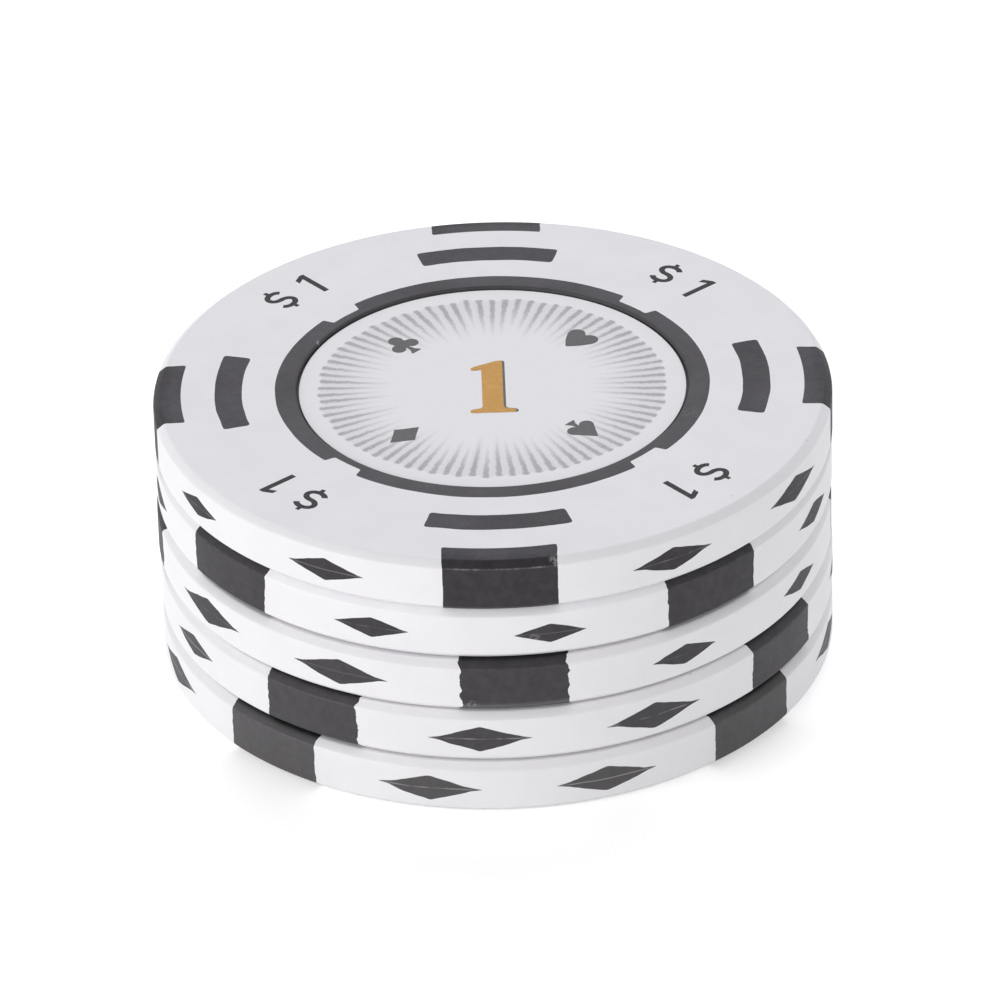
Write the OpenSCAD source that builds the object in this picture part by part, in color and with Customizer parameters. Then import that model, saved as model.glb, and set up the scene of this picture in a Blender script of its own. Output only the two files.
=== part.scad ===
// A stack of game chips. Each is moulded in two colours round a steel slug and has a label in both faces.
// Millimetres, Z up. The origin is the middle of the lowest face, and the front is -Y.

/* [Chip] */
// Diameter of a chip
chip_d = 40; // [38:0.5:50]
// Thickness of a chip
chip_t = 3.4; // [3.2:0.1:5]
// Width and height of the bevel along both rims
rim_bevel = 0.45; // [0.2:0.05:0.8]

/* [Stack] */
// Turn of each chip in degrees, from the lowest up: how far its front spot swings towards +X
chip_turns = [47.7, -33.6, 2.6, 38.5, 0.4]; // [-180:0.1:180]
// Farthest that a chip sits off the stack's middle
stack_stray = 0.5; // [0:0.05:2]

/* [Steel slug] */
// Diameter of the slug
slug_d = 26; // [18:0.5:27]
// Thickness of the slug
slug_t = 1.7; // [1:0.1:1.9]
// Bevel that the blanking die leaves along the slug's edges
slug_bevel = 0.15; // [0.05:0.05:0.4]

/* [Accent core] */
// Dark plastic over each face of the slug
slug_cover = 0.3; // [0.2:0.05:0.4]
// Dark plastic round the slug's edge
slug_wall = 0.8; // [0.5:0.1:1.2]
// Thickness of the web that ties the accents together
web_t = 1; // [0.6:0.1:1.4]
// White left outside the web's edge between the accents
rim_skin = 0.8; // [0.5:0.1:1.2]
// Diameter of the web holes that lock the white shot to the core
lock_hole_d = 2; // [1:0.1:2.4]
// Diameter of the holes left by the pins that hold the slug in the mould
pin_hole_d = 1.5; // [0.8:0.1:3]
// Pins that hold the slug on each face
pins = 3; // [3:1:6]

/* [Rim spots] */
// Spots round the rim
spots = 4; // [3:1:6]
// Width of a full spot, whose sides are parallel
spot_w = 6.6; // [4:0.1:9]
// Depth of a spot from the rim
spot_depth = 1.65; // [1:0.05:2.2]

/* [Arc bars] */
// Width of a bar across the ring that it follows
bar_w = 1.6; // [0.8:0.1:2]
// Distance from a bar's outer edge to the rim
bar_inset = 3.65; // [2.8:0.05:4]
// Angle that a bar spans, in degrees
bar_angle = 30.4; // [10:0.1:60]

/* [Rim diamonds] */
// Diamonds between two spots
diamonds = 2; // [1:1:3]
// Width of a full diamond along the rim
diamond_w = 5.6; // [2:0.1:6]
// Height of a full diamond
diamond_h = 1.7; // [1:0.05:2]

/* [Labels] */
// Diameter of the recess that takes a label
recess_d = 23.1; // [18:0.1:24]
// Depth of the recess
recess_depth = 0.3; // [0.15:0.05:0.5]
// Clearance round the edge of a label
label_gap = 0.14; // [0.05:0.01:0.5]
// Thickness of a label
label_t = 0.13; // [0.08:0.01:0.15]

/* [Label ring] */
// Width of the dark ring round the recess, across its wide arcs
ring_w = 1.25; // [0.8:0.05:1.6]
// Depth of the notches between the wide arcs
notch_depth = 0.68; // [0.2:0.02:0.7]
// Angle that a wide arc spans, in degrees
ring_arc_angle = 79.2; // [40:0.2:84]

/* [Hidden] */
$fn = 120;
// Extra length of a form that is trimmed by another
overrun = 1;
// Extra height that keeps a diamond's ridge out of the face of a web that is as thick
ridge_lift = 0.01;

chip_count = len(chip_turns);
// Each chip's place off the middle, as shares of the stray, from the lowest up
stray_x_shares = [0, 0.02, -0.1, 0, 0.04];
stray_y_shares = [0, 0.3, 0.5, 0.9, 0.3];
// How much of a full spot's width each chip shows, from the lowest up
spot_shares = [0.98, 0.94, 0.94, 0.98, 1];
// How much of a full diamond shows: a row for each chip, from the lowest up, that runs round it from a spot
diamond_shares = [
    [1, 0.9, 0.95, 1, 0.9, 1, 1, 1],
    [1, 1, 0.85, 0.9, 1, 0.95, 0.85, 0.8],
    [0.77, 0.74, 0.9, 1, 0.85, 0.95, 1, 1],
    [0.8, 0.85, 0.8, 0.75, 0.8, 0.85, 0.8, 0.75],
    [0.9, 0.94, 1, 0.9, 0.85, 0.8, 0.73, 0.85],
];

chip_r = chip_d / 2;
mid_z = chip_t / 2;
// Height of a form that runs past both faces of the chip
through_t = chip_t + 2 * overrun;
hub_r = slug_d / 2 + slug_wall;
hub_t = slug_t + 2 * slug_cover;
web_r = chip_r - rim_skin;
spot_in_r = chip_r - spot_depth;
spot_pitch = 360 / spots;
bar_out_r = chip_r - bar_inset;
bar_in_r = bar_out_r - bar_w;
lock_r = (bar_in_r + bar_out_r) / 2;
diamond_pitch = spot_pitch / (diamonds + 1);
recess_r = recess_d / 2;
label_r = recess_r - label_gap;
ring_r = recess_r + ring_w;
notch_r = ring_r - notch_depth;
// The pins' circle, as a share of the recess
pin_circle_share = 0.6;

PIECES = ["steel_slug", "accent_core", "white_body", "top_label", "bottom_label"];

// The k-th entry of a table that starts again at its end
function entry(table, k) = table[(k - 1) % len(table)];

// Lays its children on the k-th chip's place in the stack
module seat(k) {
    stray = stack_stray * [entry(stray_x_shares, k), entry(stray_y_shares, k)];
    translate([stray.x, stray.y, (k - 1) * chip_t])
        rotate([0, 0, chip_turns[k - 1]])
            children();
}

// Repeats its children at every spot, turned with it
module at_spots(turn = 0) {
    for (i = [0:spots - 1])
        rotate([0, 0, i * spot_pitch + turn])
            children();
}

// A disc whose two edges are bevelled
module bevelled_disc(d, t, bevel) {
    r = d / 2;
    rotate_extrude()
        polygon([[0, 0], [r - bevel, 0], [r, bevel], [r, t - bevel], [r - bevel, t], [0, t]]);
}

module chip_blank() {
    bevelled_disc(chip_d, chip_t, rim_bevel);
}

module slug_form() {
    translate([0, 0, mid_z - slug_t / 2])
        bevelled_disc(slug_d, slug_t, slug_bevel);
}

// The thick middle of the core, round the slug
module hub_form() {
    translate([0, 0, mid_z - hub_t / 2])
        cylinder(r = hub_r, h = hub_t);
}

// The flat disc that reaches from the hub to the rim, with its lock holes between the bars
module web_form() {
    translate([0, 0, mid_z - web_t / 2])
        difference() {
            cylinder(r = web_r, h = web_t);
            at_spots(spot_pitch / 2)
                translate([0, -lock_r, -overrun])
                    cylinder(d = lock_hole_d, h = web_t + 2 * overrun);
        }
}

// An upright part of a ring, whose middle faces the front
module arc_form(in_r, out_r, angle) {
    rotate([0, 0, -90 - angle / 2])
        rotate_extrude(angle = angle)
            translate([in_r, -overrun])
                square([out_r - in_r, through_t]);
}

// The ring round the label: a narrow ring with wide arcs at the spots
module ring_form() {
    translate([0, 0, -overrun])
        cylinder(r = notch_r, h = through_t);
    at_spots()
        arc_form(recess_r, ring_r, ring_arc_angle);
}

// A spot with parallel sides and a curved inner end, longer than the rim that trims it
module spot_form(share) {
    w = spot_w * share;
    translate([0, 0, -overrun])
        difference() {
            translate([-w / 2, -chip_r - overrun, 0])
                cube([w, chip_r + overrun, through_t]);
            translate([0, 0, -overrun])
                cylinder(r = spot_in_r, h = through_t + 2 * overrun);
        }
}

// A diamond lug that stands on the web's edge and reaches past the rim
module diamond_form(share) {
    w = diamond_w * share;
    h = diamond_h * share + ridge_lift;
    root_r = web_r - rim_skin;
    translate([0, -root_r, mid_z])
        rotate([90, 0, 0])
            linear_extrude(chip_r - root_r + overrun)
                polygon([[-w / 2, 0], [0, -h / 2], [w / 2, 0], [0, h / 2]]);
}

// All that is dark in the k-th chip, before it is trimmed to the blank
module core_form(k) {
    hub_form();
    web_form();
    ring_form();
    at_spots() {
        arc_form(bar_in_r, bar_out_r, bar_angle);
        spot_form(entry(spot_shares, k));
    }
    for (i = [0:spots - 1], j = [1:diamonds])
        rotate([0, 0, i * spot_pitch + j * diamond_pitch])
            diamond_form(entry(entry(diamond_shares, k), i * diamonds + j));
}

// The label recesses in both faces
module recesses() {
    for (z = [-overrun, chip_t - recess_depth])
        translate([0, 0, z])
            cylinder(r = recess_r, h = recess_depth + overrun);
}

// Holes from both recesses down to the slug
module pin_holes() {
    for (i = [0:pins - 1])
        rotate([0, 0, i * 360 / pins])
            translate([0, recess_r * pin_circle_share, 0])
                difference() {
                    cylinder(d = pin_hole_d, h = chip_t);
                    translate([0, 0, mid_z - slug_t / 2])
                        cylinder(d = pin_hole_d, h = slug_t);
                }
}

module steel_slug() {
    color("silver")
        slug_form();
}

module accent_core(k) {
    color("#48464a")
        difference() {
            intersection() {
                chip_blank();
                core_form(k);
            }
            slug_form();
            recesses();
            pin_holes();
        }
}

module white_body(k) {
    color("#e6e5e9")
        difference() {
            chip_blank();
            core_form(k);
        }
}

// A label lying on the floor of the upper recess
module top_label() {
    color("#d2d1d5")
        translate([0, 0, chip_t - recess_depth])
            cylinder(r = label_r, h = label_t);
}

// A label under the roof of the lower recess
module bottom_label() {
    color("#d2d1d5")
        translate([0, 0, recess_depth - label_t])
            cylinder(r = label_r, h = label_t);
}

for (k = [1:chip_count])
    seat(k) {
        steel_slug();
        accent_core(k);
        white_body(k);
        top_label();
        bottom_label();
    }
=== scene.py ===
"""A stack of five two-colour game chips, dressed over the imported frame.

Lengths are in millimetres and angles in degrees, and the bench turns them into Blender's units. A chip is
modelled in its own place, with its lower face on z = 0 and its first spot towards -Y, and is then turned and
moved to its seat in the stack.
"""

import logging
import math
from collections.abc import Iterator, Sequence
from contextlib import contextmanager
from dataclasses import dataclass, field, replace
from enum import Enum

import bmesh
import bpy
from mathutils import Matrix, Vector


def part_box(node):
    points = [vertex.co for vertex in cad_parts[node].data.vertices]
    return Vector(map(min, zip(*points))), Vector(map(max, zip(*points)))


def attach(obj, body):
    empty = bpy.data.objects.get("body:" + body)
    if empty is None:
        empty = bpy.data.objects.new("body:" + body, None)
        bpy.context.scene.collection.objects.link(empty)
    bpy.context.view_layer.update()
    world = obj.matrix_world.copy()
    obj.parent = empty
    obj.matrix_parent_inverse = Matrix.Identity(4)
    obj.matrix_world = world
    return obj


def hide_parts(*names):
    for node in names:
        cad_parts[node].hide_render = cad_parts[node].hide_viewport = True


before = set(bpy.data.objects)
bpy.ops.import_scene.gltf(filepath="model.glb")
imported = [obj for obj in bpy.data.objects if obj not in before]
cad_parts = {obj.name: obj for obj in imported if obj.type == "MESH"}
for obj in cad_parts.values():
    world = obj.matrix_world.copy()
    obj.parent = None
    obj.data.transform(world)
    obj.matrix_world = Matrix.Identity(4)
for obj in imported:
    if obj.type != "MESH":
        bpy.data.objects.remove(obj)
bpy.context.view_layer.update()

LOG = logging.getLogger("chips")

# One millimetre, in metres
MM = 0.001
# Heights that differ by less than this are level, in millimetres
LEVEL = 1e-4
# A face lies flat if its normal has more of z than this
FLAT = 0.99999
# Points nearer than this are merged, in millimetres
DOUBLE = 0.0005
# Slack for rounding when lengths are added up
ROUNDING = 1e-9
# Fewest points of an outline
FEWEST_POINTS = 8

Point = tuple[float, float]
Place = tuple[float, float, float]
Span = tuple[float, float]
Colour = tuple[float, float, float, float]
Piece = bpy.types.Object


class Cut(Enum):
    """What a tool does to the piece that it meets."""

    JOIN = "UNION"
    TAKE = "DIFFERENCE"
    TRIM = "INTERSECT"


class Side(Enum):
    """The two faces of a chip."""

    TOP = "top"
    BOTTOM = "bottom"


class Sway(Enum):
    """Ways in which the points of an uneven wall leave their places."""

    SIDEWAYS = "X"
    ANY = "RGB_TO_XYZ"


@dataclass
class Outline:
    """A closed line in a plane, drawn point by point."""

    points: list[Point] = field(default_factory=list)

    def to(self, *points: Point) -> "Outline":
        """Goes on to the given points in straight lines and returns the outline."""
        self.points.extend(points)
        return self

    def arc(self, middle: Point, radii: Point, start: float, end: float, count: int = 24) -> "Outline":
        """Goes on along part of an ellipse.

        Args:
            middle: Middle of the ellipse.
            radii: Its half axes along x and y.
            start: Angle of the first point.
            end: Angle of the last point.
            count: Number of steps between them.

        Returns:
            The outline.
        """
        for i in range(count + 1):
            angle = math.radians(start + (end - start) * i / count)
            x = middle[0] + radii[0] * math.cos(angle)
            y = middle[1] + radii[1] * math.sin(angle)
            self.points.append((x, y))
        return self

    def circle(self, radius: float, start: float, end: float, count: int = 24) -> "Outline":
        """Goes on along part of a circle about the origin and returns the outline."""
        return self.arc((0, 0), (radius, radius), start, end, count)

    def moved(self, x: float, y: float) -> "Outline":
        """Returns the outline at another place."""
        return Outline([(a + x, b + y) for a, b in self.points])

    def eased(self, step: float, passes: int) -> "Outline":
        """Returns the outline with evenly spaced points and rounded corners."""
        return self.sampled(step).softened(passes)

    def sampled(self, step: float) -> "Outline":
        """Spaces the points of the outline evenly.

        Args:
            step: About how far apart they are.

        Returns:
            A new outline.
        """
        ends = self.points[1:] + self.points[:1]
        lengths = [math.dist(a, b) for a, b in zip(self.points, ends)]
        count = max(FEWEST_POINTS, round(sum(lengths) / step))
        pace = sum(lengths) / count
        made: list[Point] = []
        walked, target = 0.0, 0.0
        for (ax, ay), (bx, by), length in zip(self.points, ends, lengths):
            while length > 0 and target < walked + length - ROUNDING and len(made) < count:
                share = (target - walked) / length
                made.append((ax + (bx - ax) * share, ay + (by - ay) * share))
                target += pace
            walked += length
        return Outline(made)

    def softened(self, passes: int) -> "Outline":
        """Rounds the corners of the outline by averaging neighbours.

        Args:
            passes: How often that is done.

        Returns:
            A new outline.
        """
        points = self.points
        for _ in range(passes):
            around = zip(points[-1:] + points[:-1], points, points[1:] + points[:1])
            points = [((a[0] + 2 * b[0] + c[0]) / 4, (a[1] + 2 * b[1] + c[1]) / 4) for a, b, c in around]
        return Outline(points)


def stroke(line: Sequence[Point], width: float) -> Outline:
    """Draws a pen stroke of one width along an open line.

    Args:
        line: Points along the middle of the stroke.
        width: Width of the pen.

    Returns:
        The stroke's outline.
    """
    left: list[Point] = []
    right: list[Point] = []
    for i, (x, y) in enumerate(line):
        before, after = line[max(i - 1, 0)], line[min(i + 1, len(line) - 1)]
        across = Vector((before[1] - after[1], after[0] - before[0])).normalized() * width / 2
        left.append((x + across.x, y + across.y))
        right.append((x - across.x, y - across.y))
    return Outline(right + left[::-1])


class Bench:
    """Blender's modelling tools, used on one piece at a time."""

    def clear(self) -> None:
        """Leaves nothing selected."""
        bpy.ops.object.select_all(action="DESELECT")

    def hold(self, *pieces: Piece) -> None:
        """Selects only these pieces, with the first one active.

        Args:
            *pieces: The pieces.
        """
        self.clear()
        for piece in pieces:
            piece.select_set(True)
        bpy.context.view_layer.objects.active = pieces[0]

    @contextmanager
    def editing(self, piece: Piece) -> Iterator[None]:
        """Opens a piece in edit mode with nothing selected, and closes it again.

        Args:
            piece: The piece.

        Yields:
            Nothing.
        """
        self.hold(piece)
        bpy.ops.object.mode_set(mode="EDIT")
        bpy.ops.mesh.select_all(action="DESELECT")
        yield
        bpy.ops.object.mode_set(mode="OBJECT")

    def bevel_rims(self, piece: Piece, width: float, segments: int, beyond: float = 0.0) -> None:
        """Bevels the level edges of the open piece.

        Args:
            piece: The piece.
            width: Width of the bevel.
            segments: Number of its steps.
            beyond: Radius outside which the edges lie.
        """
        bpy.ops.mesh.select_mode(type="EDGE")
        mesh = bmesh.from_edit_mesh(piece.data)
        for edge in mesh.edges:
            first, second = (vertex.co / MM for vertex in edge.verts)
            edge.select_set(abs(first.z - second.z) < LEVEL and first.xy.length > beyond)
        bmesh.update_edit_mesh(piece.data)
        bpy.ops.mesh.bevel(offset=width * MM, segments=segments, affect="EDGES", clamp_overlap=False)

    def poke_ends(self, piece: Piece) -> None:
        """Gives each flat face of the open piece a middle point, so that tools cut it cleanly.

        Args:
            piece: The piece.
        """
        bpy.ops.mesh.select_mode(type="FACE")
        mesh = bmesh.from_edit_mesh(piece.data)
        for face in mesh.faces:
            face.select_set(abs(face.normal.z) > FLAT)
        bmesh.update_edit_mesh(piece.data)
        bpy.ops.mesh.poke()

    def pull(self, rise: float) -> None:
        """Pulls what is selected in the open piece straight up."""
        bpy.ops.mesh.extrude_region_move(TRANSFORM_OT_translate={"value": (0, 0, rise * MM)})

    def face_out(self) -> None:
        """Turns all faces of the open piece outwards."""
        bpy.ops.mesh.select_all(action="SELECT")
        bpy.ops.mesh.normals_make_consistent(inside=False)

    def drum(
        self, name: str, radius: float, low: float, high: float, middle: Point = (0, 0), sides: int = 240
    ) -> Piece:
        """Adds a plain upright drum, to be shaped or cut with.

        Args:
            name: Name of the new piece.
            radius: Radius of the drum.
            low: Height of its lower end.
            high: Height of its upper end.
            middle: Place of its axis.
            sides: Number of its flat sides.

        Returns:
            The drum.
        """
        self.clear()
        bpy.ops.mesh.primitive_cylinder_add(
            vertices=sides,
            radius=radius * MM,
            depth=(high - low) * MM,
            location=(middle[0] * MM, middle[1] * MM, (low + high) / 2 * MM),
        )
        return self.named(name)

    def turned(self, name: str, profile: Sequence[Point], sides: int = 240) -> Piece:
        """Pulls a disc up into a round form, ring by ring.

        Args:
            name: Name of the new piece.
            profile: Radius and height of each ring, from the lowest up.
            sides: Number of its flat sides.

        Returns:
            The round form.
        """
        self.clear()
        radius, low = profile[0]
        bpy.ops.mesh.primitive_circle_add(
            vertices=sides, radius=radius * MM, fill_type="NGON", location=(0, 0, low * MM)
        )
        piece = self.named(name)
        with self.editing(piece):
            bpy.ops.mesh.select_all(action="SELECT")
            for (radius, low), (wider, high) in zip(profile, profile[1:]):
                self.pull(high - low)
                share = wider / radius
                bpy.ops.transform.resize(value=(share, share, 1), center_override=(0, 0, high * MM))
            self.face_out()
        return piece

    def prism(self, name: str, outline: Outline, low: float, high: float, steps: int = 1) -> Piece:
        """Draws an outline as a flat face and pulls it up in steps.

        Args:
            name: Name of the new piece.
            outline: Its plan.
            low: Height of its lower end.
            high: Height of its upper end.
            steps: Number of pulls, which leave loops round the wall.

        Returns:
            The prism.
        """
        self.clear()
        bpy.ops.mesh.primitive_circle_add(vertices=len(outline.points), radius=MM, fill_type="NGON")
        piece = self.named(name)
        for vertex, (x, y) in zip(piece.data.vertices, outline.points):
            vertex.co = (x * MM, y * MM, low * MM)
        with self.editing(piece):
            bpy.ops.mesh.select_all(action="SELECT")
            for _ in range(steps):
                self.pull((high - low) / steps)
            self.face_out()
        return piece

    def named(self, name: str) -> Piece:
        """Names the active piece and puts its place into its mesh.

        Args:
            name: The name.

        Returns:
            The piece.
        """
        piece = bpy.context.object
        piece.name = piece.data.name = name
        self.settle(piece)
        return piece

    def settle(self, piece: Piece) -> None:
        """Puts a piece's place, turn and scale into its mesh."""
        self.hold(piece)
        bpy.ops.object.transform_apply(location=True, rotation=True, scale=True)

    def place(self, piece: Piece, turn: Sequence[float], move: Sequence[float] = (0, 0, 0)) -> Piece:
        """Turns a piece about the origin, moves it, and settles it there.

        Args:
            piece: The piece.
            turn: Turns about x, y and z.
            move: Distances along x, y and z.

        Returns:
            The piece.
        """
        piece.rotation_euler = [math.radians(angle) for angle in turn]
        piece.location = [distance * MM for distance in move]
        self.settle(piece)
        return piece

    def copy(self, piece: Piece, name: str) -> Piece:
        """Copies a piece with a mesh of its own.

        Args:
            piece: The piece.
            name: Name of the copy.

        Returns:
            The copy.
        """
        self.hold(piece)
        bpy.ops.object.duplicate()
        made = bpy.context.object
        made.name = made.data.name = name
        return made

    def merge(self, name: str, pieces: Sequence[Piece]) -> Piece:
        """Makes separate shells one piece.

        Args:
            name: Name of that piece.
            pieces: The shells, which are used up.

        Returns:
            The piece.
        """
        self.hold(*pieces)
        if len(pieces) > 1:
            bpy.ops.object.join()
        return self.named(name)

    def drop(self, piece: Piece) -> None:
        """Throws away a tool that has been used."""
        bpy.data.objects.remove(piece)

    def apply(self, piece: Piece, kind: str, **settings: object) -> None:
        """Adds a modifier to a piece and applies it.

        Args:
            piece: The piece.
            kind: Type of the modifier.
            **settings: Its settings.
        """
        modifier = piece.modifiers.new(kind.lower(), kind)
        for key, setting in settings.items():
            setattr(modifier, key, setting)
        self.hold(piece)
        bpy.ops.object.modifier_apply(modifier=modifier.name)

    def cut(self, piece: Piece, tool: Piece, way: Cut, keep: bool = False) -> None:
        """Works on a piece with a tool.

        Args:
            piece: The piece.
            tool: The tool, which is thrown away unless it is kept.
            way: What the tool does.
            keep: Whether the tool is kept.
        """
        self.apply(piece, "BOOLEAN", operation=way.value, object=tool, solver="MANIFOLD")
        if not keep:
            self.drop(tool)

    def ragged(self, piece: Piece, amount: float, waves: float, sway: Sway) -> None:
        """Makes the walls of a form uneven.

        Args:
            piece: The form.
            amount: Full swing of the unevenness.
            waves: Size of its waves.
            sway: Which way points move.
        """
        clouds = bpy.data.textures.new(f"{piece.name}_clouds", "CLOUDS")
        clouds.noise_scale = waves * MM
        clouds.noise_depth = 4
        clouds.cloud_type = "COLOR"
        settings = {"texture": clouds, "texture_coords": "LOCAL", "direction": sway.value}
        self.apply(piece, "DISPLACE", strength=amount * MM, mid_level=0.5, **settings)
        bpy.data.textures.remove(clouds)

    def smooth(self, piece: Piece, angle: float = 32.0) -> None:
        """Closes small doubles, then shades a piece smoothly with its flat faces kept flat.

        Args:
            piece: The piece.
            angle: Edges that are sharper than this stay sharp.
        """
        with self.editing(piece):
            bpy.ops.mesh.select_all(action="SELECT")
            bpy.ops.mesh.remove_doubles(threshold=DOUBLE * MM)
        self.hold(piece)
        bpy.ops.object.shade_smooth_by_angle(angle=math.radians(angle))
        self.apply(piece, "WEIGHTED_NORMAL", keep_sharp=True, weight=100)


@dataclass(frozen=True)
class Grain:
    """A cloudy noise of about 0 to 1: its waves per millimetre, and its layers and how rough they are."""

    scale: float
    detail: float = 2.0
    rough: float = 0.5


@dataclass(frozen=True)
class Dots:
    """Small scattered dots: their cells per millimetre, radius in cells, and share of cells with a dot."""

    scale: float
    size: float
    share: float
    core_share: float = 0.4


class Value:
    """A socket of a node tree that takes part in sums."""

    def __init__(self, graph: "Graph", socket: bpy.types.NodeSocket) -> None:
        """Wraps a socket of a graph."""
        self.graph = graph
        self.socket = socket

    def math(self, operation: str, *others: "Value | float") -> "Value":
        """Adds a Math node that works on this value and others, and returns its result."""
        return self.graph.add("ShaderNodeMath", {"operation": operation}, dict(enumerate((self, *others))))

    def __add__(self, other: "Value | float") -> "Value":
        """Adds."""
        return self.math("ADD", other)

    __radd__ = __add__

    def __sub__(self, other: "Value | float") -> "Value":
        """Takes away."""
        return self.math("SUBTRACT", other)

    def __rsub__(self, other: float) -> "Value":
        """Is taken away from a number."""
        return self.graph.add("ShaderNodeMath", {"operation": "SUBTRACT"}, {0: other, 1: self})

    def __mul__(self, other: "Value | float") -> "Value":
        """Multiplies."""
        return self.math("MULTIPLY", other)

    __rmul__ = __mul__

    def __truediv__(self, other: "Value | float") -> "Value":
        """Divides."""
        return self.math("DIVIDE", other)

    def __pow__(self, other: "Value | float") -> "Value":
        """Raises to a power."""
        return self.math("POWER", other)

    def __abs__(self) -> "Value":
        """Drops the sign."""
        return self.math("ABSOLUTE")

    def over(self, none: "Value | float", full: "Value | float") -> "Value":
        """Rises smoothly from 0 at none to 1 at full."""
        sockets = {"Value": self, "From Min": none, "From Max": full}
        return self.graph.add("ShaderNodeMapRange", {"interpolation_type": "SMOOTHSTEP"}, sockets)

    def under(self, full: "Value | float", none: "Value | float") -> "Value":
        """Falls smoothly from 1 at full to 0 at none."""
        return 1 - self.over(full, none)


class Graph:
    """The nodes of a material or of the world."""

    def __init__(self, owner: bpy.types.Material | bpy.types.World) -> None:
        """Clears the nodes of their owner.

        Args:
            owner: The material or world.
        """
        self.owner = owner
        owner.use_nodes = True
        self.tree = owner.node_tree
        self.tree.nodes.clear()

    @classmethod
    def named(cls, name: str) -> "Graph":
        """Starts a new material."""
        return cls(bpy.data.materials.new(name))

    def add(
        self,
        kind: str,
        settings: dict[str, object] | None = None,
        sockets: dict[str | int, object] | None = None,
        out: str | int = 0,
    ) -> Value | None:
        """Adds a node.

        Args:
            kind: Its type.
            settings: Its settings, which are set first.
            sockets: Values of its sockets, or what is linked to them.
            out: The output that is returned.

        Returns:
            One of its outputs, or none for the last node.
        """
        node = self.tree.nodes.new(kind)
        for key, setting in (settings or {}).items():
            setattr(node, key, setting)
        for key, given in (sockets or {}).items():
            if isinstance(given, Value):
                self.tree.links.new(given.socket, node.inputs[key])
            else:
                node.inputs[key].default_value = given
        return Value(self, node.outputs[out]) if node.outputs else None

    def local(self, seat: "Seat | None" = None) -> Value:
        """Gives places in millimetres.

        Args:
            seat: The chip whose own frame they are in, if any.

        Returns:
            The places.
        """
        sockets: dict[str | int, object] = {"Scale": (MM, MM, MM)}
        sockets["Vector"] = self.add("ShaderNodeTexCoord", out="Object")
        if seat:
            sockets["Location"] = (seat.x * MM, seat.y * MM, seat.z * MM)
            sockets["Rotation"] = (0, 0, math.radians(seat.turn))
        return self.add("ShaderNodeMapping", {"vector_type": "TEXTURE"}, sockets)

    def parts(self, place: Value) -> tuple[Value, Value, Value]:
        """Splits a place into x, y and z."""
        return tuple(self.add("ShaderNodeSeparateXYZ", sockets={0: place}, out=i) for i in range(3))

    def noise(self, place: Value, grain: Grain) -> Value:
        """Gives a cloudy noise."""
        sockets = {"Vector": place, "Scale": grain.scale, "Detail": grain.detail, "Roughness": grain.rough}
        return self.add("ShaderNodeTexNoise", sockets=sockets)

    def dots(self, place: Value, dots: Dots) -> Value:
        """Gives scattered dots.

        Args:
            place: Where the pattern is read.
            dots: What they are like.

        Returns:
            1 in a dot and 0 outside.
        """
        sockets = {"Vector": place, "Scale": dots.scale}
        distance = self.add("ShaderNodeTexVoronoi", {}, sockets, "Distance")
        lottery = self.add("ShaderNodeTexVoronoi", {}, sockets, "Color")
        draw = self.add("ShaderNodeSeparateColor", sockets={0: lottery})
        return distance.under(dots.size * dots.core_share, dots.size) * draw.math("LESS_THAN", dots.share)

    def mix(self, share: Value, first: "Value | Colour", second: "Value | Colour") -> Value:
        """Blends two colours, from the first at 0 to the second at 1."""
        return self.add("ShaderNodeMix", {"data_type": "RGBA"}, {0: share, 6: first, 7: second}, 2)

    def bump(self, height: Value, depth: float) -> Value:
        """Turns a height of 0 to 1 into a normal, for relief of a depth in millimetres."""
        return self.add("ShaderNodeBump", sockets={"Height": height, "Distance": depth * MM, "Strength": 1.0})

    def done(self, **sockets: object) -> bpy.types.Material:
        """Ends the material in one Principled shader.

        Args:
            **sockets: Values or links of its sockets, with _ for a space.

        Returns:
            The material.
        """
        named = {key.replace("_", " "): given for key, given in sockets.items()}
        shader = self.add("ShaderNodeBsdfPrincipled", sockets=named)
        self.add("ShaderNodeOutputMaterial", sockets={"Surface": shader})
        return self.owner


def grey(level: float, red: float = 1.0, green: float = 1.0, blue: float = 1.0) -> Colour:
    """Gives a linear colour from a level and shares of red, green and blue."""
    return (level * red, level * green, level * blue, 1.0)


@dataclass(frozen=True)
class Form:
    """How a dark form is drawn, with the points of its outline a step apart, and how uneven it is."""

    step: float
    softening: int
    loops: int
    uneven: float = 0.0
    waves: float = 1.0


@dataclass(frozen=True)
class Waves:
    """Waves in a spot's sides: their share of the chip's raggedness, their size, and its change by spot."""

    share: float
    size: float
    change: float = 0.0


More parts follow.
